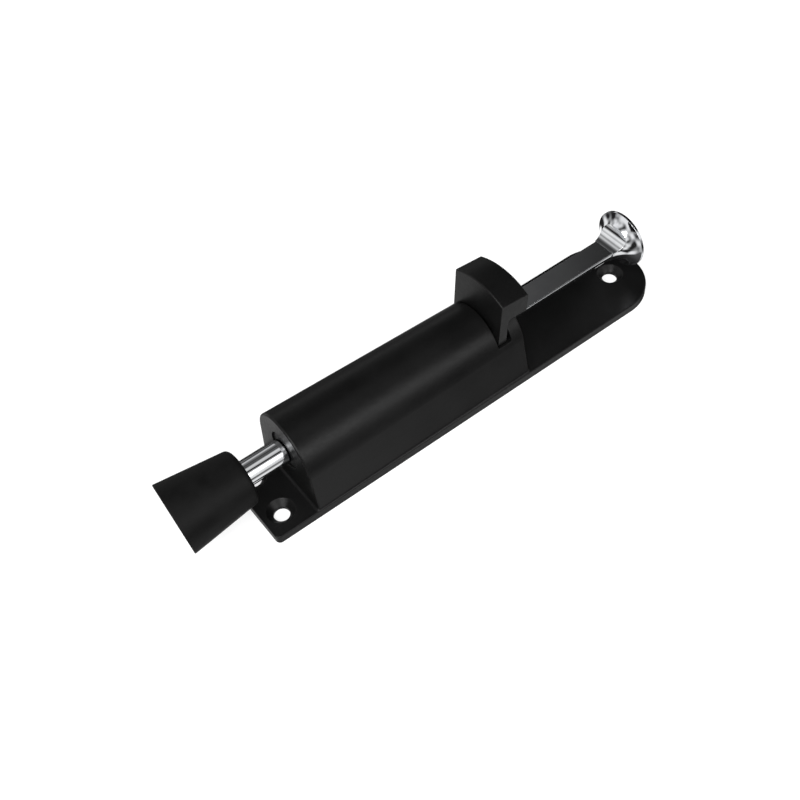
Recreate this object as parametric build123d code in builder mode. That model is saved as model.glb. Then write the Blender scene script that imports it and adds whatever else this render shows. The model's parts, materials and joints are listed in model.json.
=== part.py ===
"""Foot-operated door holder: a sprung plunger with a rubber foot in a cast housing.

Frame: the flat back of the plate lies on Z = 0 and faces -Z. +X runs along the plunger, from the
rubber foot to the push head, +Z points out of the door, and Y = 0 is the plane of symmetry. The
origin is the middle of the plate's back. Lengths are in millimetres, angles in degrees. The parts
stand as they do at rest: plunger fully up, lever leaning and ready to grip.
"""

from build123d import *
import math
import os

os.makedirs("parts", exist_ok=True)

# Plate of the casting
PLATE_LENGTH = 162.0
PLATE_WIDTH = 32.0
PLATE_THICKNESS = 3.0
PLATE_FOOT_X = -PLATE_LENGTH / 2
PLATE_HEAD_X = PLATE_LENGTH / 2
PLATE_CORNER_RADIUS = 1.6

# Screw holes, countersunk from the front
SCREW_HOLE_RADIUS = 2.6
COUNTERSINK_RADIUS = 4.6
COUNTERSINK_ANGLE = 90
FOOT_HOLES_X = -74.6
FOOT_HOLES_SPACING = 16.2
HEAD_HOLE_X = 70.0

# Housing: an arch over the plunger that narrows a little towards the head
HOUSING_FOOT_X = -65.5
HOUSING_HEAD_X = 18.7
ARCH_RADIUS_FOOT = 14.0
ARCH_RADIUS_HEAD = 12.7
ARCH_CENTRE_FOOT = 15.5
ARCH_CENTRE_HEAD = 14.0
WALL = 3.0
END_WALL = 4.0
HOUSING_EDGE_RADIUS = 0.6
HOUSING_ROOT_RADIUS = 1.0
PLATE_EDGE_RADIUS = 0.3

# Stop wall inside the housing, between the spring chamber and the lever chamber
STOP_WALL_FOOT_X = -1.5
STOP_WALL_HEAD_X = 1.5
STOP_WALL_HOLE_RADIUS = 4.6

# Plunger rod, with a long flat on its upper half
ROD_RADIUS = 4.0
ROD_Z = 17.5
ROD_FOOT_X = -90.0
ROD_HEAD_X = 65.5
FLAT_HEIGHT = 0.9
FLAT_START_X = 3.0
RUNNING_GAP = 0.05

# Guide bushes
LOWER_BUSH_RADIUS = 6.4
LOWER_BUSH_FLANGE_RADIUS = 8.0
LOWER_BUSH_FLANGE = 1.5
LOWER_BUSH_RECESS = 0.6
UPPER_BUSH_RADIUS = 6.0

# Return spring and what it presses on
SEAT_THICKNESS = 0.8
SEAT_RADIUS = 7.5
SPRING_WIRE_RADIUS = 0.55
SPRING_COIL_RADIUS = 5.5
SPRING_TURNS = 9.5
COLLAR_LENGTH = 4.5
COLLAR_RADIUS = 6.6
WASHER_THICKNESS = 1.0
BUFFER_THICKNESS = 2.0
BUFFER_RADIUS = 6.4
COLLAR_PIN_RADIUS = 1.0
COLLAR_PIN_LENGTH = 12.6

# Push head: a hollow-curved flare, a thin rim and a shallow dome
HEAD_NECK_RADIUS = 4.4
HEAD_MIDDLE_RADIUS = 6.4
HEAD_MIDDLE = 4.5
HEAD_RIM_RADIUS = 10.2
HEAD_FLARE_LENGTH = 7.6
HEAD_RIM_THICKNESS = 0.9
FLAT_RUNOUT_RADIUS = 5.0
HEAD_DOME = 1.6
HEAD_STUD_RADIUS = 2.0
HEAD_STUD_DEPTH = 6.0
ROD_STUD_DEPTH = 10.0

# Rubber foot and its fastening. The cone is cut off at a slant, and has turned on its screw
FOOT_END_X = -103.8
FOOT_TOP_X = -79.9
FOOT_CONE_X = -107.0
FOOT_CONE_RADIUS = 12.1
FOOT_TOP_RADIUS = 9.0
FOOT_SLANT = 6.4
FOOT_TURN = 35.0
FOOT_TOP_ROUND = 1.8
FOOT_END_ROUND = 0.3
FOOT_RECESS_RADIUS = 6.0
FOOT_RECESS_DEPTH = 5.8
FOOT_WASHER_RADIUS = 5.6
FOOT_WASHER_THICKNESS = 1.0
FOOT_SLEEVE_RADIUS = 3.4
FOOT_SCREW_RADIUS = 2.0
FOOT_SCREW_HEAD_RADIUS = 3.8
FOOT_SCREW_HEAD = 2.4
FOOT_SCREW_DEPTH = 9.0
SOCKET_ACROSS_FLATS = 2.5
SOCKET_DEPTH = 1.3

# Release lever: an upright leg round the rod, with an arched block on top
PIVOT_X = 9.45
PIVOT_Z = 6.2
LEVER_LEAN = 5.0
LEG_THICKNESS = 3.2
LEVER_HALF_WIDTH = 11.2
TONGUE_HALF_WIDTH = 7.5
TONGUE_BOTTOM = -2.6
SHOULDER = 12.9
BLOCK_LENGTH = 10.6
BLOCK_BOTTOM = 22.4
BLOCK_SIDE_TOP = 29.2
BLOCK_APEX = 31.6
LEVER_EDGE_RADIUS = 0.4
LEVER_INNER_RADIUS = 1.5
LEVER_HOLE_PLAY = 0.17

# Notch in the housing that the lever works in
NOTCH_FOOT_X = 8.4
NOTCH_HEAD_X = 14.0
NOTCH_FLOOR_Z = 18.6

# Lever pin, its clips and saddles, and the lever spring
PIN_RADIUS = 1.5
PIN_HALF_LENGTH = 11.0
PIN_PLAY = 0.03
SADDLE_INNER_Y = 9.0
SADDLE_HALF_LENGTH = 3.2
SADDLE_TOP_Z = 9.2
CLIP_RADIUS = 3.0
CLIP_THICKNESS = 0.6
CLIP_Y = 8.0
LEVER_SPRING_Z = 10.3
LEVER_SPRING_COIL_RADIUS = 2.0
LEVER_SPRING_WIRE_RADIUS = 0.3
LEVER_SPRING_TURNS = 5.0
LEVER_SPRING_GAP = 0.2

ROD_AXIS = Axis((0, 0, ROD_Z), (1, 0, 0))
SIDE_PLANE = Plane(origin=(0, 0, ROD_Z), x_dir=(1, 0, 0), z_dir=(0, -1, 0))


def across_rod(x):
    """Plane square to the rod at x: local x is +Y, local y is +Z, the normal is +X."""
    return Plane(origin=(x, 0, ROD_Z), x_dir=(0, 1, 0), z_dir=(1, 0, 0))


def housing_section(x, inset=0.0):
    """Arch with sides that splay out to the edges of the plate, drawn inset from the outside."""
    share = (x - HOUSING_FOOT_X) / (HOUSING_HEAD_X - HOUSING_FOOT_X)
    radius = ARCH_RADIUS_FOOT + share * (ARCH_RADIUS_HEAD - ARCH_RADIUS_FOOT) - inset
    centre = ARCH_CENTRE_FOOT + share * (ARCH_CENTRE_HEAD - ARCH_CENTRE_FOOT)
    half_base = PLATE_WIDTH / 2 - inset
    reach = math.hypot(half_base, centre)
    tangent = math.acos(radius / reach) - math.atan2(centre, half_base)
    side_y = radius * math.cos(tangent)
    side_z = centre + radius * math.sin(tangent)
    with BuildSketch(Plane.YZ.offset(x)) as section:
        with BuildLine():
            Polyline((-side_y, side_z), (-half_base, 0), (half_base, 0), (side_y, side_z))
            ThreePointArc((side_y, side_z), (0, centre + radius), (-side_y, side_z))
        make_face()
    return section.sketch


def flatted_circle(plane, radius, flat):
    """Round outline with a flat across its top, at the given height above the centre."""
    with BuildSketch(plane) as outline:
        Circle(radius)
        with Locations((0, flat + radius)):
            Rectangle(2 * radius, 2 * radius, mode=Mode.SUBTRACT)
    return outline.sketch


def ring(from_x, to_x, outer, inner):
    """Add a washer or sleeve round the rod's axis to the part being built."""
    with BuildSketch(across_rod(from_x)) as outline:
        Circle(outer)
        Circle(inner, mode=Mode.SUBTRACT)
    extrude(outline.sketch, amount=to_x - from_x)


def coil(plane, length, coil_radius, wire_radius, turns):
    """Add a round-wire spring of the given length, which starts on the plane, to the part."""
    pitch = (length - 2 * wire_radius) / turns
    start = plane.origin + plane.z_dir * wire_radius
    with BuildLine() as wire:
        Helix(pitch, pitch * turns, coil_radius, center=start, direction=plane.z_dir)
    with BuildSketch(Plane(origin=wire.line @ 0, z_dir=wire.line % 0)) as profile:
        Circle(wire_radius)
    sweep(profile.sketch, path=wire.line)


# Where the pieces along the rod meet
bush_inside_x = HOUSING_FOOT_X + END_WALL
seat_x = bush_inside_x + LOWER_BUSH_FLANGE
spring_foot_x = seat_x + SEAT_THICKNESS
buffer_x = STOP_WALL_FOOT_X - BUFFER_THICKNESS
collar_head_x = buffer_x - RUNNING_GAP
collar_foot_x = collar_head_x - COLLAR_LENGTH
spring_head_x = collar_foot_x - WASHER_THICKNESS
collar_pin_x = (collar_foot_x + collar_head_x) / 2
collar_wall_x = NOTCH_HEAD_X
stud_offset = (FLAT_HEIGHT - ROD_RADIUS) / 2

# ---------------------------------------------------------------- body casting
with BuildPart() as body_casting:
    loft([housing_section(HOUSING_FOOT_X), housing_section(HOUSING_HEAD_X)], ruled=True)
    end_arches = body_casting.edges().filter_by(GeomType.CIRCLE)
    fillet(end_arches, HOUSING_EDGE_RADIUS)

    with BuildSketch(Plane.XY):
        with Locations((PLATE_FOOT_X, 0)):
            Rectangle(PLATE_LENGTH - PLATE_WIDTH / 2, PLATE_WIDTH, align=(Align.MIN, Align.CENTER))
        with Locations((PLATE_HEAD_X - PLATE_WIDTH / 2, 0)):
            Circle(PLATE_WIDTH / 2)
    extrude(amount=PLATE_THICKNESS)
    foot_corners = body_casting.edges().filter_by(Axis.Z).group_by(Axis.X)[0]
    fillet(foot_corners, PLATE_CORNER_RADIUS)

    # Rounded upper edge of the plate, and the rounded root of the housing's foot end
    plate_top = body_casting.edges().filter_by_position(Axis.Z, PLATE_THICKNESS, PLATE_THICKNESS)
    ends = plate_top.filter_by(Axis.Y).sort_by(Axis.X)
    fillet(plate_top.filter_by(GeomType.CIRCLE) + plate_top.filter_by(Axis.X) + ends[:1], PLATE_EDGE_RADIUS)
    roots = body_casting.edges().filter_by_position(Axis.X, HOUSING_FOOT_X, HOUSING_FOOT_X)
    fillet(roots.filter_by(Axis.Y).sort_by(Axis.Z)[-1], HOUSING_ROOT_RADIUS)

    # Spring chamber and lever chamber, both open at the back
    for foot_x, head_x in ((bush_inside_x, STOP_WALL_FOOT_X), (STOP_WALL_HEAD_X, collar_wall_x)):
        ends = [housing_section(foot_x, WALL), housing_section(head_x, WALL)]
        loft(ends, ruled=True, mode=Mode.SUBTRACT)

    # Notch for the lever, right across the housing
    with BuildSketch(Plane.XZ):
        with Locations(((NOTCH_FOOT_X + NOTCH_HEAD_X) / 2, NOTCH_FLOOR_Z)):
            Rectangle(NOTCH_HEAD_X - NOTCH_FOOT_X, PLATE_WIDTH, align=(Align.CENTER, Align.MIN))
    extrude(amount=PLATE_WIDTH, both=True, mode=Mode.SUBTRACT)

    # Saddles for the lever pin, joined to the side walls
    with BuildSketch(Plane.XZ):
        with Locations((PIVOT_X, SADDLE_TOP_Z / 2)):
            Rectangle(2 * SADDLE_HALF_LENGTH, SADDLE_TOP_Z)
        with Locations((PIVOT_X, PIVOT_Z)):
            Circle(PIN_RADIUS, mode=Mode.SUBTRACT)
        with Locations((PIVOT_X, PIVOT_Z / 2)):
            Rectangle(2 * PIN_RADIUS, PIVOT_Z, mode=Mode.SUBTRACT)
    saddle_bar = extrude(amount=PLATE_WIDTH / 2 - WALL, both=True, mode=Mode.PRIVATE)
    tongue_room = Box(PLATE_WIDTH, 2 * SADDLE_INNER_Y, 2 * PLATE_WIDTH, mode=Mode.PRIVATE)
    add(saddle_bar - Pos(PIVOT_X, 0, 0) * tongue_room)

    # Bores for the two bushes and the hole through the stop wall
    with BuildSketch(across_rod(HOUSING_FOOT_X - 1)):
        Circle(LOWER_BUSH_RADIUS)
    extrude(amount=END_WALL + 1, mode=Mode.SUBTRACT)
    with BuildSketch(across_rod(collar_wall_x)):
        Circle(UPPER_BUSH_RADIUS)
    extrude(amount=HOUSING_HEAD_X - collar_wall_x, mode=Mode.SUBTRACT)
    with BuildSketch(across_rod(STOP_WALL_FOOT_X)):
        Circle(STOP_WALL_HOLE_RADIUS)
    extrude(amount=STOP_WALL_HEAD_X - STOP_WALL_FOOT_X, mode=Mode.SUBTRACT)

    # Screw holes
    screw_places = [
        (FOOT_HOLES_X, -FOOT_HOLES_SPACING / 2),
        (FOOT_HOLES_X, FOOT_HOLES_SPACING / 2),
        (HEAD_HOLE_X, 0),
    ]
    with BuildSketch(Plane.XY):
        with Locations(*screw_places):
            Circle(SCREW_HOLE_RADIUS)
    extrude(amount=PLATE_THICKNESS, mode=Mode.SUBTRACT)
    sink_slope = math.tan(math.radians(COUNTERSINK_ANGLE / 2))
    sink_depth = (COUNTERSINK_RADIUS - SCREW_HOLE_RADIUS) / sink_slope
    with Locations(*[(x, y, PLATE_THICKNESS - sink_depth / 2) for x, y in screw_places]):
        Cone(SCREW_HOLE_RADIUS, COUNTERSINK_RADIUS, sink_depth, mode=Mode.SUBTRACT)
body_casting.part.label = "body_casting"
export_step(body_casting.part, "parts/body_casting.step")

# ---------------------------------------------------------------- guide bushes
with BuildPart() as lower_guide_bush:
    bush_foot_x = HOUSING_FOOT_X + LOWER_BUSH_RECESS
    ring(bush_foot_x, bush_inside_x, LOWER_BUSH_RADIUS, ROD_RADIUS + RUNNING_GAP)
    ring(bush_inside_x, seat_x, LOWER_BUSH_FLANGE_RADIUS, ROD_RADIUS + RUNNING_GAP)
lower_guide_bush.part.label = "lower_guide_bush"
export_step(lower_guide_bush.part, "parts/lower_guide_bush.step")

with BuildPart() as upper_guide_bush:
    with BuildSketch(across_rod(collar_wall_x)):
        Circle(UPPER_BUSH_RADIUS)
    extrude(amount=HOUSING_HEAD_X - collar_wall_x)
    bore_radius = ROD_RADIUS + RUNNING_GAP
    bore = flatted_circle(across_rod(collar_wall_x), bore_radius, FLAT_HEIGHT + RUNNING_GAP)
    extrude(bore, amount=HOUSING_HEAD_X - collar_wall_x, mode=Mode.SUBTRACT)
upper_guide_bush.part.label = "upper_guide_bush"
export_step(upper_guide_bush.part, "parts/upper_guide_bush.step")

# ---------------------------------------------------------------- plunger rod
with BuildPart() as plunger_rod:
    with BuildSketch(across_rod(ROD_FOOT_X)):
        Circle(ROD_RADIUS)
    extrude(amount=FLAT_START_X - ROD_FOOT_X)
    flatted = flatted_circle(across_rod(FLAT_START_X), ROD_RADIUS, FLAT_HEIGHT)
    extrude(flatted, amount=ROD_HEAD_X - FLAT_START_X)
    # Tapped holes for the foot screw and the head stud
    with BuildSketch(across_rod(ROD_FOOT_X)):
        Circle(FOOT_SCREW_RADIUS)
    extrude(amount=FOOT_SCREW_DEPTH, mode=Mode.SUBTRACT)
    with BuildSketch(across_rod(ROD_HEAD_X)):
        with Locations((0, stud_offset)):
            Circle(HEAD_STUD_RADIUS)
    extrude(amount=-ROD_STUD_DEPTH, mode=Mode.SUBTRACT)
    # Cross hole for the collar pin
    with BuildSketch(Plane.XZ):
        with Locations((collar_pin_x, ROD_Z)):
            Circle(COLLAR_PIN_RADIUS)
    extrude(amount=ROD_RADIUS + 1, both=True, mode=Mode.SUBTRACT)
plunger_rod.part.label = "plunger_rod"
export_step(plunger_rod.part, "parts/plunger_rod.step")

# ---------------------------------------------------------------- push head
rim_x = ROD_HEAD_X + HEAD_FLARE_LENGTH
flare_middle = (ROD_HEAD_X + HEAD_MIDDLE, HEAD_MIDDLE_RADIUS)
rim_top_x = rim_x + HEAD_RIM_THICKNESS
dome_radius = (HEAD_RIM_RADIUS**2 + HEAD_DOME**2) / (2 * HEAD_DOME)
dome_centre_x = rim_top_x + HEAD_DOME - dome_radius
dome_angle = math.degrees(math.asin(HEAD_RIM_RADIUS / dome_radius))
with BuildPart() as push_head:
    with BuildSketch(SIDE_PLANE):
        with BuildLine():
            Line((ROD_HEAD_X, 0), (ROD_HEAD_X, HEAD_NECK_RADIUS))
            ThreePointArc((ROD_HEAD_X, HEAD_NECK_RADIUS), flare_middle, (rim_x, HEAD_RIM_RADIUS))
            Line((rim_x, HEAD_RIM_RADIUS), (rim_top_x, HEAD_RIM_RADIUS))
            CenterArc((dome_centre_x, 0), dome_radius, 0, dome_angle)
            Line((rim_top_x + HEAD_DOME, 0), (ROD_HEAD_X, 0))
        make_face()
    revolve(axis=ROD_AXIS)
    with BuildSketch(across_rod(ROD_HEAD_X)):
        with Locations((0, stud_offset)):
            Circle(HEAD_STUD_RADIUS)
    extrude(amount=HEAD_STUD_DEPTH, mode=Mode.SUBTRACT)
    # The cutter that made the rod's flat ran out in a hollow at the foot of the flare
    with BuildSketch(SIDE_PLANE):
        with Locations((ROD_HEAD_X, FLAT_HEIGHT + FLAT_RUNOUT_RADIUS)):
            Circle(FLAT_RUNOUT_RADIUS)
    extrude(amount=HEAD_RIM_RADIUS, both=True, mode=Mode.SUBTRACT)
push_head.part.label = "push_head"
export_step(push_head.part, "parts/push_head.step")

with BuildPart() as head_stud:
    with BuildSketch(across_rod(ROD_HEAD_X - ROD_STUD_DEPTH)):
        with Locations((0, stud_offset)):
            Circle(HEAD_STUD_RADIUS)
    extrude(amount=ROD_STUD_DEPTH + HEAD_STUD_DEPTH)
head_stud.part.label = "head_stud"
export_step(head_stud.part, "parts/head_stud.step")

# ---------------------------------------------------------------- rubber foot
recess_x = FOOT_END_X + FOOT_RECESS_DEPTH
sleeve_x = recess_x + FOOT_WASHER_THICKNESS
slant = math.radians(FOOT_SLANT)
turn = math.radians(FOOT_TURN)
foot_end = Plane(
    origin=(FOOT_END_X, 0, ROD_Z),
    x_dir=(0, math.cos(turn), math.sin(turn)),
    z_dir=(-math.cos(slant), math.sin(slant) * math.sin(turn), -math.sin(slant) * math.cos(turn)),
)
with BuildPart() as rubber_foot:
    with BuildSketch(SIDE_PLANE):
        Polygon(
            (FOOT_CONE_X, 0),
            (FOOT_TOP_X, 0),
            (FOOT_TOP_X, FOOT_TOP_RADIUS),
            (FOOT_CONE_X, FOOT_CONE_RADIUS),
            align=None,
        )
    revolve(axis=ROD_AXIS)
    split(bisect_by=foot_end, keep=Keep.BOTTOM)
    fillet(rubber_foot.edges().filter_by(GeomType.CIRCLE).sort_by(Axis.X)[-1], FOOT_TOP_ROUND)
    fillet(rubber_foot.edges().filter_by(GeomType.ELLIPSE), FOOT_END_ROUND)
    with BuildSketch(across_rod(FOOT_CONE_X)):
        Circle(FOOT_RECESS_RADIUS)
    extrude(amount=sleeve_x - FOOT_CONE_X, mode=Mode.SUBTRACT)
    with BuildSketch(across_rod(sleeve_x)):
        Circle(FOOT_SLEEVE_RADIUS)
    extrude(amount=ROD_FOOT_X - sleeve_x, mode=Mode.SUBTRACT)
    with BuildSketch(across_rod(ROD_FOOT_X)):
        Circle(ROD_RADIUS)
    extrude(amount=FOOT_TOP_X - ROD_FOOT_X, mode=Mode.SUBTRACT)
rubber_foot.part.label = "rubber_foot"
export_step(rubber_foot.part, "parts/rubber_foot.step")

with BuildPart() as foot_sleeve:
    ring(sleeve_x, ROD_FOOT_X, FOOT_SLEEVE_RADIUS, FOOT_SCREW_RADIUS)
foot_sleeve.part.label = "foot_sleeve"
export_step(foot_sleeve.part, "parts/foot_sleeve.step")

with BuildPart() as foot_washer:
    ring(recess_x, sleeve_x, FOOT_WASHER_RADIUS, FOOT_SCREW_RADIUS)
foot_washer.part.label = "foot_washer"
export_step(foot_washer.part, "parts/foot_washer.step")

with BuildPart() as foot_screw:
    with BuildSketch(across_rod(recess_x - FOOT_SCREW_HEAD)):
        Circle(FOOT_SCREW_HEAD_RADIUS)
    extrude(amount=FOOT_SCREW_HEAD)
    fillet(foot_screw.edges().group_by(Axis.X)[0], FOOT_SCREW_HEAD / 4)
    with BuildSketch(across_rod(recess_x)):
        Circle(FOOT_SCREW_RADIUS)
    extrude(amount=ROD_FOOT_X + FOOT_SCREW_DEPTH - recess_x)
    with BuildSketch(across_rod(recess_x - FOOT_SCREW_HEAD)):
        RegularPolygon(SOCKET_ACROSS_FLATS / 2, 6, major_radius=False)
    extrude(amount=SOCKET_DEPTH, mode=Mode.SUBTRACT)
foot_screw.part.label = "foot_screw"
export_step(foot_screw.part, "parts/foot_screw.step")

# ---------------------------------------------------------------- return spring and its seats
with BuildPart() as lower_spring_seat:
    ring(seat_x, spring_foot_x, SEAT_RADIUS, ROD_RADIUS + 2 * RUNNING_GAP)
lower_spring_seat.part.label = "lower_spring_seat"
export_step(lower_spring_seat.part, "parts/lower_spring_seat.step")

with BuildPart() as return_spring:
    coil(
        across_rod(spring_foot_x),
        spring_head_x - spring_foot_x,
        SPRING_COIL_RADIUS,
        SPRING_WIRE_RADIUS,
        SPRING_TURNS,
    )
return_spring.part.label = "return_spring"
export_step(return_spring.part, "parts/return_spring.step")

with BuildPart() as upper_spring_washer:
    ring(spring_head_x, collar_foot_x, COLLAR_RADIUS, ROD_RADIUS)
upper_spring_washer.part.label = "upper_spring_washer"
export_step(upper_spring_washer.part, "parts/upper_spring_washer.step")

with BuildPart() as stop_collar:
    ring(collar_foot_x, collar_head_x, COLLAR_RADIUS, ROD_RADIUS)
    with BuildSketch(Plane.XZ):
        with Locations((collar_pin_x, ROD_Z)):
            Circle(COLLAR_PIN_RADIUS)
    extrude(amount=COLLAR_RADIUS + 1, both=True, mode=Mode.SUBTRACT)
stop_collar.part.label = "stop_collar"
export_step(stop_collar.part, "parts/stop_collar.step")

with BuildPart() as collar_pin:
    with BuildSketch(Plane.XZ):
        with Locations((collar_pin_x, ROD_Z)):
            Circle(COLLAR_PIN_RADIUS)
    extrude(amount=COLLAR_PIN_LENGTH / 2, both=True)
collar_pin.part.label = "collar_pin"
export_step(collar_pin.part, "parts/collar_pin.step")

with BuildPart() as stop_buffer:
    ring(buffer_x, STOP_WALL_FOOT_X, BUFFER_RADIUS, STOP_WALL_HOLE_RADIUS)
stop_buffer.part.label = "stop_buffer"
export_step(stop_buffer.part, "parts/stop_buffer.step")

# ---------------------------------------------------------------- release lever
lean = math.radians(LEVER_LEAN)
lever_side = Plane(
    origin=(PIVOT_X, 0, PIVOT_Z),
    x_dir=(math.cos(lean), 0, -math.sin(lean)),
    z_dir=(0, -1, 0),
)
lever_face = Plane(
    origin=(PIVOT_X, 0, PIVOT_Z),
    x_dir=(0, 1, 0),
    z_dir=(math.cos(lean), 0, -math.sin(lean)),
)
leg_front = -LEG_THICKNESS / 2
rod_height = (ROD_Z - PIVOT_Z) / math.cos(lean)
with BuildPart() as release_lever:
    with BuildSketch(lever_face.offset(leg_front)):
        with BuildLine():
            Polyline(
                (-LEVER_HALF_WIDTH, BLOCK_SIDE_TOP),
                (-LEVER_HALF_WIDTH, SHOULDER),
                (LEVER_HALF_WIDTH, SHOULDER),
                (LEVER_HALF_WIDTH, BLOCK_SIDE_TOP),
            )
            ThreePointArc(
                (LEVER_HALF_WIDTH, BLOCK_SIDE_TOP),
                (0, BLOCK_APEX),
                (-LEVER_HALF_WIDTH, BLOCK_SIDE_TOP),
            )
        make_face()
    extrude(amount=BLOCK_LENGTH)
    with BuildSketch(lever_side):
        with Locations((-leg_front, 0)):
            Rectangle(BLOCK_LENGTH, BLOCK_BOTTOM, align=(Align.MIN, Align.MIN))
    extrude(amount=PLATE_WIDTH, both=True, mode=Mode.SUBTRACT)
    fillet(release_lever.edges().filter_by(GeomType.CIRCLE), LEVER_EDGE_RADIUS)
    inner_corner = lever_face.from_local_coords((0, BLOCK_BOTTOM, leg_front + LEG_THICKNESS))
    fillet(release_lever.edges().sort_by_distance(inner_corner)[0], LEVER_INNER_RADIUS)
    with BuildSketch(lever_face.offset(leg_front)):
        with Locations((0, TONGUE_BOTTOM)):
            Rectangle(
                2 * TONGUE_HALF_WIDTH,
                SHOULDER - TONGUE_BOTTOM,
                align=(Align.CENTER, Align.MIN),
            )
    extrude(amount=LEG_THICKNESS)
    # D-shaped hole for the rod
    hole_plane = Plane(
        origin=lever_face.from_local_coords((0, rod_height, leg_front)),
        x_dir=lever_face.x_dir,
        z_dir=lever_face.z_dir,
    )
    hole_radius = ROD_RADIUS + LEVER_HOLE_PLAY
    rod_hole = flatted_circle(hole_plane, hole_radius, FLAT_HEIGHT + LEVER_HOLE_PLAY)
    extrude(rod_hole, amount=LEG_THICKNESS, mode=Mode.SUBTRACT)
    # Pin hole
    with BuildSketch(lever_side):
        Circle(PIN_RADIUS + PIN_PLAY)
    extrude(amount=TONGUE_HALF_WIDTH, both=True, mode=Mode.SUBTRACT)
release_lever.part.label = "release_lever"
export_step(release_lever.part, "parts/release_lever.step")

with BuildPart() as lever_pin:
    with BuildSketch(Plane.XZ):
        with Locations((PIVOT_X, PIVOT_Z)):
            Circle(PIN_RADIUS)
    extrude(amount=PIN_HALF_LENGTH, both=True)
lever_pin.part.label = "lever_pin"
export_step(lever_pin.part, "parts/lever_pin.step")

with BuildPart() as lever_pin_clips:
    for side in (-1, 1):
        with BuildSketch(Plane.XZ.offset(side * CLIP_Y)):
            with Locations((PIVOT_X, PIVOT_Z)):
                Circle(CLIP_RADIUS)
                Circle(PIN_RADIUS, mode=Mode.SUBTRACT)
        extrude(amount=side * CLIP_THICKNESS)
lever_pin_clips.part.label = "lever_pin_clips"
export_step(lever_pin_clips.part, "parts/lever_pin_clips.step")

# The lever spring stands between the stop wall and the front of the tongue
spring_height = LEVER_SPRING_Z - PIVOT_Z
tongue_front_x = PIVOT_X + leg_front * math.cos(lean) + spring_height * math.tan(lean)
with BuildPart() as lever_spring:
    coil(
        Plane(origin=(STOP_WALL_HEAD_X, 0, LEVER_SPRING_Z), x_dir=(0, 1, 0), z_dir=(1, 0, 0)),
        tongue_front_x - STOP_WALL_HEAD_X - LEVER_SPRING_GAP,
        LEVER_SPRING_COIL_RADIUS,
        LEVER_SPRING_WIRE_RADIUS,
        LEVER_SPRING_TURNS,
    )
lever_spring.part.label = "lever_spring"
export_step(lever_spring.part, "parts/lever_spring.step")
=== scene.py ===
"""Looks of the foot-operated door holder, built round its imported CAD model.

Metres throughout, in the frame of the CAD: the plate's back lies on Z = 0, +X runs from the rubber
foot to the push head along the plunger, and Y = 0 is the plane of symmetry.
"""

import json
import math

import bmesh
import bpy
from mathutils import Matrix, Vector

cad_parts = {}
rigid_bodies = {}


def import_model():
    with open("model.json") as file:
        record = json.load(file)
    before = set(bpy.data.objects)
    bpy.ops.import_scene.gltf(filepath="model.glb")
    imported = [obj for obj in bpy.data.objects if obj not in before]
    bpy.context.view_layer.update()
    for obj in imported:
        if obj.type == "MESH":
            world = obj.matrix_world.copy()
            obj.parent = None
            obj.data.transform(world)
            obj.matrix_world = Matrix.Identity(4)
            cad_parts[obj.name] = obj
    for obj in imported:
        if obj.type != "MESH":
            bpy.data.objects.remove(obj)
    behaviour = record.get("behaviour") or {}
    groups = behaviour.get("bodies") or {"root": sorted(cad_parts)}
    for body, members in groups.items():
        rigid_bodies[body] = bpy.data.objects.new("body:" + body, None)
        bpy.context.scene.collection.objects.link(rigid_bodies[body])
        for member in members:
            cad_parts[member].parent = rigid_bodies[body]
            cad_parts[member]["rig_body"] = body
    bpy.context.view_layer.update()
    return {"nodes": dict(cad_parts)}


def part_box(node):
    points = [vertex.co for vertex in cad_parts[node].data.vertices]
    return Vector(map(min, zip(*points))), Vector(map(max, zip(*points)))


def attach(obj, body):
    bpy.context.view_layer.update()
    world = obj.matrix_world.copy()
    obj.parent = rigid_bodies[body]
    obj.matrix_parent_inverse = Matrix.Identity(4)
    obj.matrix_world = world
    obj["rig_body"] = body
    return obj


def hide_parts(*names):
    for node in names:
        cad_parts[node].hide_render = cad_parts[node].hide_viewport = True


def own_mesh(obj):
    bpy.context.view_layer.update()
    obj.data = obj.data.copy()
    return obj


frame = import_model()
nodes = frame["nodes"]
MM = 0.001

# ------------------------------------------------------------------ camera
CAMERA_AZIMUTH = math.radians(-32.55)
CAMERA_ELEVATION = math.radians(51.27)
CAMERA_ROLL = math.radians(-6.04)
CAMERA_DISTANCE = 355.33 * MM
CAMERA_TARGET = Vector((-19.75, 4.59, 0.0)) * MM
CAMERA_LENS = 48.7

back = Vector((
    math.sin(CAMERA_AZIMUTH) * math.cos(CAMERA_ELEVATION),
    -math.cos(CAMERA_AZIMUTH) * math.cos(CAMERA_ELEVATION),
    math.sin(CAMERA_ELEVATION),
))
level_right = (-back).cross(Vector((0, 0, 1))).normalized()
level_up = level_right.cross(-back)
right = math.cos(CAMERA_ROLL) * level_right + math.sin(CAMERA_ROLL) * level_up
up = math.cos(CAMERA_ROLL) * level_up - math.sin(CAMERA_ROLL) * level_right
camera = bpy.data.objects.new("camera", bpy.data.cameras.new("camera"))
bpy.context.scene.collection.objects.link(camera)
camera.data.lens = CAMERA_LENS
camera.data.sensor_width = 36.0
camera.data.clip_start = 0.01
camera.data.clip_end = 20.0
pose = Matrix((right, up, back)).transposed().to_4x4()
pose.translation = CAMERA_TARGET + back * CAMERA_DISTANCE
camera.matrix_world = pose
bpy.context.scene.camera = camera


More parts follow.
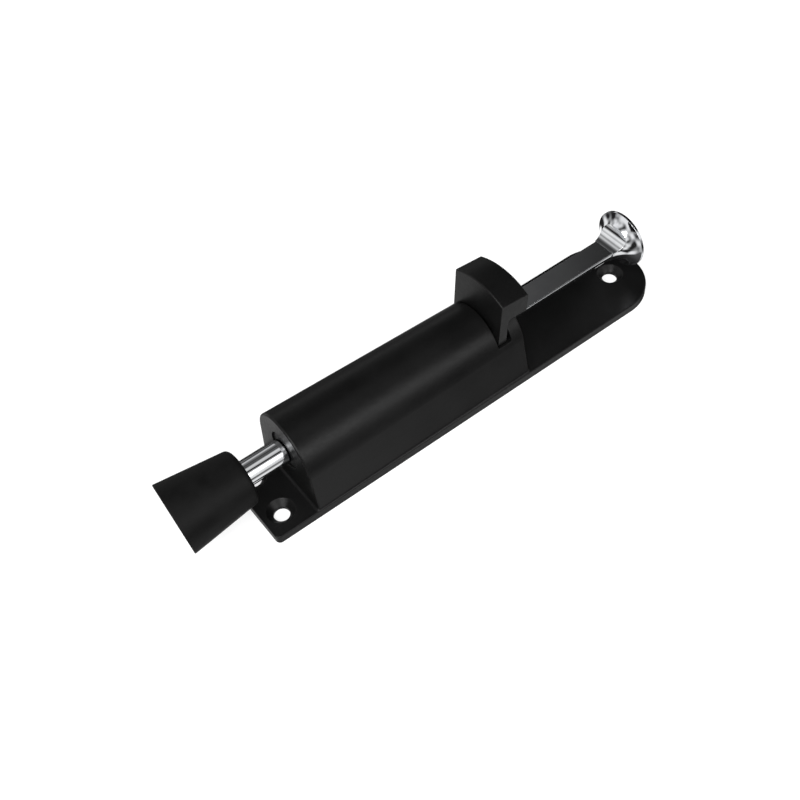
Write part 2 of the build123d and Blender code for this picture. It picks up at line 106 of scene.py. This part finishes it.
# ------------------------------------------------------------------ node helpers
class Nodes:
    """A material's node tree, with short calls for the few node types used here."""

    def __init__(self, name):
        self.material = bpy.data.materials.new(name)
        self.material.use_nodes = True
        self.tree = self.material.node_tree
        self.shader = self.tree.nodes["Principled BSDF"]
        self.coords = self.tree.nodes.new("ShaderNodeTexCoord").outputs["Object"]

    def link(self, source, target):
        self.tree.links.new(source, target)

    def stretched(self, scale):
        mapping = self.tree.nodes.new("ShaderNodeMapping")
        mapping.inputs["Scale"].default_value = scale
        self.link(self.coords, mapping.inputs["Vector"])
        return mapping.outputs["Vector"]

    def noise(self, size, detail=2.0, vector=None):
        """Noise whose lumps are about size metres across."""
        node = self.tree.nodes.new("ShaderNodeTexNoise")
        node.inputs["Scale"].default_value = 1.0 / size
        node.inputs["Detail"].default_value = detail
        self.link(vector or self.coords, node.inputs["Vector"])
        return node.outputs["Fac"]

    def spread(self, value, low, high, from_low=0.35, from_high=0.65):
        node = self.tree.nodes.new("ShaderNodeMapRange")
        node.inputs["From Min"].default_value = from_low
        node.inputs["From Max"].default_value = from_high
        node.inputs["To Min"].default_value = low
        node.inputs["To Max"].default_value = high
        self.link(value, node.inputs["Value"])
        return node.outputs["Result"]

    def mix(self, share, first, second):
        node = self.tree.nodes.new("ShaderNodeMix")
        node.data_type = "RGBA"
        self.link(share, node.inputs[0])
        for socket, colour in ((node.inputs[6], first), (node.inputs[7], second)):
            if isinstance(colour, tuple):
                socket.default_value = (*colour, 1.0)
            else:
                self.link(colour, socket)
        return node.outputs[2]

    def calc(self, operation, first, second):
        node = self.tree.nodes.new("ShaderNodeMath")
        node.operation = operation
        for socket, value in ((node.inputs[0], first), (node.inputs[1], second)):
            if isinstance(value, (int, float)):
                socket.default_value = value
            else:
                self.link(value, socket)
        return node.outputs[0]

    def edges(self, radius, low, high):
        """1 along sharp edges of the shape, 0 on its faces."""
        bevel = self.tree.nodes.new("ShaderNodeBevel")
        bevel.samples = 4
        bevel.inputs["Radius"].default_value = radius
        geometry = self.tree.nodes.new("ShaderNodeNewGeometry")
        dot = self.tree.nodes.new("ShaderNodeVectorMath")
        dot.operation = "DOT_PRODUCT"
        self.link(bevel.outputs["Normal"], dot.inputs[0])
        self.link(geometry.outputs["Normal"], dot.inputs[1])
        return self.spread(dot.outputs["Value"], 1.0, 0.0, low, high)

    def soft_edges(self, radius):
        """Normals that run round the sharp edges of the shape, as if rounded to the radius."""
        bevel = self.tree.nodes.new("ShaderNodeBevel")
        bevel.samples = 6
        bevel.inputs["Radius"].default_value = radius
        return bevel.outputs["Normal"]

    def bump(self, height, distance, strength=1.0, normal=None):
        node = self.tree.nodes.new("ShaderNodeBump")
        node.inputs["Distance"].default_value = distance
        node.inputs["Strength"].default_value = strength
        self.link(height, node.inputs["Height"])
        if normal is not None:
            self.link(normal, node.inputs["Normal"])
        return node.outputs["Normal"]


# ------------------------------------------------------------------ materials
def grey(value):
    return (value, value, value)


def black_coating():
    """Satin powder coat: very fine orange peel, a little uneven in gloss, rubbed on its edges."""
    n = Nodes("black_coating")
    cloud = n.noise(18 * MM, 3.0)
    fine = n.noise(0.9 * MM, 2.0)
    wear = n.calc("MULTIPLY", n.edges(0.5 * MM, 0.80, 0.995), n.spread(n.noise(3 * MM, 4.0), 0.0, 1.0))
    n.link(n.mix(wear, n.mix(n.spread(cloud, 0.0, 1.0), grey(0.0026), grey(0.0038)), grey(0.008)),
           n.shader.inputs["Base Color"])
    rough = n.calc("ADD", n.spread(cloud, 0.36, 0.42), n.spread(fine, -0.03, 0.03))
    n.link(n.calc("SUBTRACT", rough, n.calc("MULTIPLY", wear, 0.10)), n.shader.inputs["Roughness"])
    peel = n.bump(n.noise(1.6 * MM, 1.0), 0.02 * MM, 0.6, n.soft_edges(0.3 * MM))
    n.link(n.bump(fine, 0.012 * MM, 0.6, peel), n.shader.inputs["Normal"])
    n.shader.inputs["IOR"].default_value = 1.27
    return n.material


def chrome():
    """Bright chrome plate with a faint haze and hairline marks along the rod."""
    n = Nodes("chrome")
    cloud = n.noise(7 * MM, 3.0)
    lines = n.noise(0.5 * MM, 2.0, vector=n.stretched((0.02, 1.0, 1.0)))
    n.link(n.mix(n.spread(cloud, 0.0, 1.0), (0.63, 0.64, 0.66), (0.70, 0.71, 0.72)),
           n.shader.inputs["Base Color"])
    n.shader.inputs["Metallic"].default_value = 1.0
    n.link(n.calc("ADD", n.spread(cloud, 0.05, 0.09), n.spread(lines, -0.01, 0.02)),
           n.shader.inputs["Roughness"])
    n.link(n.bump(lines, 0.002 * MM, 0.3, n.soft_edges(0.12 * MM)), n.shader.inputs["Normal"])
    return n.material


def black_rubber():
    """Matt moulded rubber with a fine grain and faint dusty patches."""
    n = Nodes("black_rubber")
    cloud = n.noise(6 * MM, 4.0)
    grain = n.noise(0.35 * MM, 3.0)
    n.link(n.mix(n.spread(cloud, 0.0, 1.0), grey(0.0022), grey(0.0036)), n.shader.inputs["Base Color"])
    n.link(n.spread(cloud, 0.48, 0.60), n.shader.inputs["Roughness"])
    n.shader.inputs["IOR"].default_value = 1.22
    n.link(n.bump(grain, 0.02 * MM, 0.7), n.shader.inputs["Normal"])
    return n.material


def black_nylon():
    """Moulded nylon of the bushes, slightly glossier than the rubber."""
    n = Nodes("black_nylon")
    cloud = n.noise(4 * MM, 3.0)
    n.link(n.mix(n.spread(cloud, 0.0, 1.0), grey(0.006), grey(0.010)), n.shader.inputs["Base Color"])
    n.link(n.spread(cloud, 0.45, 0.55), n.shader.inputs["Roughness"])
    n.shader.inputs["IOR"].default_value = 1.30
    n.link(n.bump(n.noise(0.6 * MM, 2.0), 0.01 * MM, 0.5), n.shader.inputs["Normal"])
    return n.material


def steel(name, dark, light, rough_low, rough_high, line_size):
    """Plain steel with drawing or turning lines and a slightly cloudy surface."""
    n = Nodes(name)
    cloud = n.noise(3 * MM, 4.0)
    lines = n.noise(line_size, 3.0)
    n.link(n.mix(n.spread(cloud, 0.0, 1.0), dark, light), n.shader.inputs["Base Color"])
    n.shader.inputs["Metallic"].default_value = 1.0
    n.link(n.spread(lines, rough_low, rough_high), n.shader.inputs["Roughness"])
    n.link(n.bump(lines, 0.004 * MM, 0.5), n.shader.inputs["Normal"])
    return n.material


looks = {
    "black_coating": black_coating(),
    "chrome": chrome(),
    "black_rubber": black_rubber(),
    "black_nylon": black_nylon(),
    "spring_steel": steel("spring_steel", (0.30, 0.29, 0.28), (0.42, 0.41, 0.39), 0.22, 0.34, 0.25 * MM),
    "zinc_steel": steel("zinc_steel", (0.48, 0.49, 0.50), (0.62, 0.62, 0.60), 0.26, 0.40, 0.4 * MM),
}
LOOK_OF_NODE = {
    "body_casting": "black_coating",
    "release_lever": "black_coating",
    "plunger_rod": "chrome",
    "push_head": "chrome",
    "rubber_foot": "black_rubber",
    "stop_buffer": "black_rubber",
    "lower_guide_bush": "black_nylon",
    "upper_guide_bush": "black_nylon",
    "return_spring": "spring_steel",
    "lever_spring": "spring_steel",
}


def look_of(node):
    return LOOK_OF_NODE.get(node, "zinc_steel")


for name, node in nodes.items():
    node.data.materials.clear()
    node.data.materials.append(looks[look_of(name)])

# ------------------------------------------------------------------ pieces that stand for CAD nodes
SHARP_ANGLE = math.radians(35)
FLAT_ANGLE = math.radians(0.5)
WELD_DISTANCE = 0.002 * MM
# How far each sharp edge of the small turned parts is rounded, in millimetres. The casting, lever, rod,
# foot and bushes are shown by their CAD meshes, with any edge rounds that the CAD gives them.
EDGE_ROUND = {
    "stop_buffer": 0.20,
    "stop_collar": 0.25,
    "lower_spring_seat": 0.10,
    "upper_spring_washer": 0.12,
    "foot_washer": 0.12,
    "foot_sleeve": 0.08,
    "foot_screw": 0.10,
    "lever_pin": 0.15,
    "lever_pin_clips": 0.08,
    "collar_pin": 0.10,
}


def finish_piece(name, mesh, node, body):
    """Put a new mesh in the scene as the piece that stands for a CAD node."""
    piece = bpy.data.objects.new(name, mesh)
    bpy.context.scene.collection.objects.link(piece)
    mesh.materials.clear()
    mesh.materials.append(looks[look_of(node)])
    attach(piece, body)
    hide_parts(node)
    return piece


def welded_copy(node, join_flats):
    """A copy of a CAD node's mesh with its seams joined, and its flat faces too if asked, all smooth."""
    mesh = nodes[node].data.copy()
    shape = bmesh.new()
    shape.from_mesh(mesh)
    bmesh.ops.remove_doubles(shape, verts=shape.verts, dist=WELD_DISTANCE)
    if join_flats:
        bmesh.ops.dissolve_limit(shape, angle_limit=FLAT_ANGLE, verts=shape.verts, edges=shape.edges)
    for face in shape.faces:
        face.smooth = True
    shape.to_mesh(mesh)
    shape.free()
    mesh.attributes.remove(mesh.attributes["custom_normal"])
    return mesh


def weigh_normals(piece):
    """Let large faces set the shading, so that flats look flat beside their rounds."""
    piece.modifiers.new("weighted_normals", "WEIGHTED_NORMAL").keep_sharp = True


def show_rounded(node, width):
    """Show a CAD node by a copy with its sharp edges rounded off."""
    mesh = welded_copy(node, join_flats=True)
    piece = finish_piece(node + "_finished", mesh, node, nodes[node]["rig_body"])
    bevel = piece.modifiers.new("rounded_edges", "BEVEL")
    bevel.width = width * MM
    bevel.segments = 3
    bevel.limit_method = "ANGLE"
    bevel.angle_limit = SHARP_ANGLE
    bevel.use_clamp_overlap = False
    bevel.harden_normals = True
    weigh_normals(piece)


def show_welded(node):
    """Show a CAD node by a copy whose curved faces shade as one, up to its sharp edges."""
    mesh = welded_copy(node, join_flats=False)
    mesh.set_sharp_from_angle(angle=SHARP_ANGLE)
    weigh_normals(finish_piece(node + "_finished", mesh, node, nodes[node]["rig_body"]))


for node, width in EDGE_ROUND.items():
    show_rounded(node, width)


# Turns that lie on each other at a spring's ends keep this share of a wire diameter between centres
CLOSED_PITCH_SHARE = 1.01


def middle_of(node):
    low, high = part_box(node)
    return (low.y + high.y) / 2, (low.z + high.z) / 2


def spring(node, coil_radius, wire_radius, free_turns, closed_turns, sides=12, steps=40):
    """A compression spring along X with closed ends, in the box of the CAD node.

    sides is the number of flats round the wire, and steps the number of rings in one turn.
    """
    low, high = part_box(node)
    centre = middle_of(node)
    foot, head = low.x + wire_radius, high.x - wire_radius
    closed_pitch = CLOSED_PITCH_SHARE * 2 * wire_radius
    turns = free_turns + 2 * closed_turns
    free_pitch = (head - foot - 2 * closed_turns * closed_pitch) / free_turns
    count = int(turns * steps)
    shape = bmesh.new()
    rings = []
    for i in range(count + 1):
        turn = turns * i / count
        first = min(turn, closed_turns)
        middle = min(max(turn - closed_turns, 0.0), free_turns)
        last = max(turn - closed_turns - free_turns, 0.0)
        x = foot + (first + last) * closed_pitch + middle * free_pitch
        angle = 2 * math.pi * turn
        outward = Vector((0.0, math.cos(angle), math.sin(angle)))
        ring = []
        for k in range(sides):
            around = 2 * math.pi * k / sides
            offset = outward * math.cos(around) + Vector((1, 0, 0)) * math.sin(around)
            point = Vector((x, *centre)) + outward * coil_radius + offset * wire_radius
            point.x = min(max(point.x, low.x), high.x)
            ring.append(shape.verts.new(point))
        rings.append(ring)
    for ring, following in zip(rings, rings[1:]):
        for k in range(sides):
            beside = (k + 1) % sides
            shape.faces.new((ring[k], following[k], following[beside], ring[beside]))
    shape.faces.new(rings[0])
    shape.faces.new(rings[-1][::-1])
    bmesh.ops.recalc_face_normals(shape, faces=shape.faces)
    for face in shape.faces:
        face.smooth = len(face.verts) == 4
    mesh = bpy.data.meshes.new(node + "_wire")
    shape.to_mesh(mesh)
    shape.free()
    return finish_piece(node + "_wire", mesh, node, "casting")


show_welded("push_head")

return_wire = spring(
    "return_spring", coil_radius=5.5 * MM, wire_radius=0.55 * MM, free_turns=7.5, closed_turns=1.0,
)
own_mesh(return_wire)

lever_wire = spring(
    "lever_spring", coil_radius=2.0 * MM, wire_radius=0.3 * MM, free_turns=3.5, closed_turns=0.75,
)
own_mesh(lever_wire)

# ------------------------------------------------------------------ floor and light
FLOOR_SIZE = 6.0
FLOOR_DROP = 0.05 * MM
FLOOR_MOTTLE = 0.3
FLOOR_GLOW = 0.72
floor_mesh = bmesh.new()
bmesh.ops.create_grid(floor_mesh, x_segments=8, y_segments=8, size=FLOOR_SIZE / 2)
floor_data = bpy.data.meshes.new("floor")
floor_mesh.to_mesh(floor_data)
floor_mesh.free()
floor = bpy.data.objects.new("floor", floor_data)
bpy.context.scene.collection.objects.link(floor)
floor.location.z = -FLOOR_DROP
pale = Nodes("pale_floor")
pale.shader.inputs["Roughness"].default_value = 0.9
pale.shader.inputs["Specular IOR Level"].default_value = 0.0
pale.link(pale.mix(pale.spread(pale.noise(FLOOR_MOTTLE), 0.0, 1.0), grey(0.38), grey(0.40)),
          pale.shader.inputs["Base Color"])
pale.shader.inputs["Emission Color"].default_value = (1.0, 1.0, 1.0, 1.0)
pale.shader.inputs["Emission Strength"].default_value = FLOOR_GLOW
floor_data.materials.append(pale.material)
# Gloss and chrome show the room's light from below too, in place of the bright floor
floor.visible_glossy = False

scene = bpy.context.scene
scene.view_settings.view_transform = "Standard"
scene.view_settings.look = "None"

# The room is pale, with a dark flag on one side that the rod's flat reflects, and with soft bright and
# dark areas that give the chrome its contrast. The camera sees a plain backdrop in its place.
ROOM_LIGHT = 0.42
FLAG_LIGHT = 0.03
FLAG_DIRECTION = (0.60, 0.47, 0.65)
FLAG_EDGE = (0.78, 0.93)
AREA_SCALE = 2.0
AREA_EDGE = (0.36, 0.64)
DARK_AREA_SHARE = 0.05
BRIGHT_AREA_SHARE = 2.85
BACKDROP_LIGHT = 1.0
world = bpy.data.worlds.new("studio")
world.use_nodes = True
scene.world = world
tree = world.node_tree
sky = tree.nodes["Background"]
direction = tree.nodes.new("ShaderNodeTexCoord").outputs["Generated"]


def room_node(kind, **settings):
    """A node of the room's light, with its properties set."""
    node = tree.nodes.new("ShaderNode" + kind)
    for name, value in settings.items():
        setattr(node, name, value)
    return node


def smooth_step(source, edge, low, high):
    """low before the edge's start and high after its end, with a soft change between."""
    step = room_node("MapRange", interpolation_type="SMOOTHSTEP")
    for socket, value in zip(("From Min", "From Max", "To Min", "To Max"), (*edge, low, high)):
        step.inputs[socket].default_value = value
    tree.links.new(source, step.inputs["Value"])
    return step.outputs["Result"]


towards_flag = room_node("VectorMath", operation="DOT_PRODUCT")
towards_flag.inputs[1].default_value = FLAG_DIRECTION
tree.links.new(direction, towards_flag.inputs[0])
flag = smooth_step(towards_flag.outputs["Value"], FLAG_EDGE, ROOM_LIGHT, FLAG_LIGHT)

clouds = room_node("TexNoise")
clouds.inputs["Scale"].default_value = AREA_SCALE
clouds.inputs["Detail"].default_value = 1.0
tree.links.new(direction, clouds.inputs["Vector"])
areas = smooth_step(clouds.outputs["Fac"], AREA_EDGE, DARK_AREA_SHARE, BRIGHT_AREA_SHARE)

lit_room = room_node("Math", operation="MULTIPLY")
tree.links.new(flag, lit_room.inputs[0])
tree.links.new(areas, lit_room.inputs[1])
backdrop = room_node("Mix")
backdrop.inputs[3].default_value = BACKDROP_LIGHT
tree.links.new(room_node("LightPath").outputs["Is Camera Ray"], backdrop.inputs[0])
tree.links.new(lit_room.outputs[0], backdrop.inputs[2])
tree.links.new(backdrop.outputs[0], sky.inputs["Strength"])
sky.inputs["Color"].default_value = (1.0, 1.0, 1.0, 1.0)


def softbox(name, place, width, height, power):
    """Rectangular soft light at place, turned to face the object."""
    lamp = bpy.data.lights.new(name, "AREA")
    lamp.shape = "RECTANGLE"
    lamp.size = width
    lamp.size_y = height
    lamp.energy = power
    holder = bpy.data.objects.new(name, lamp)
    scene.collection.objects.link(holder)
    holder.location = place
    holder.rotation_euler = (-Vector(place)).to_track_quat("-Z", "Y").to_euler()


softbox("key_light", place=(-0.9, -0.5, 1.1), width=1.0, height=1.0, power=24.0)
softbox("fill_light", place=(0.2, -1.3, 0.8), width=1.2, height=0.6, power=8.0)
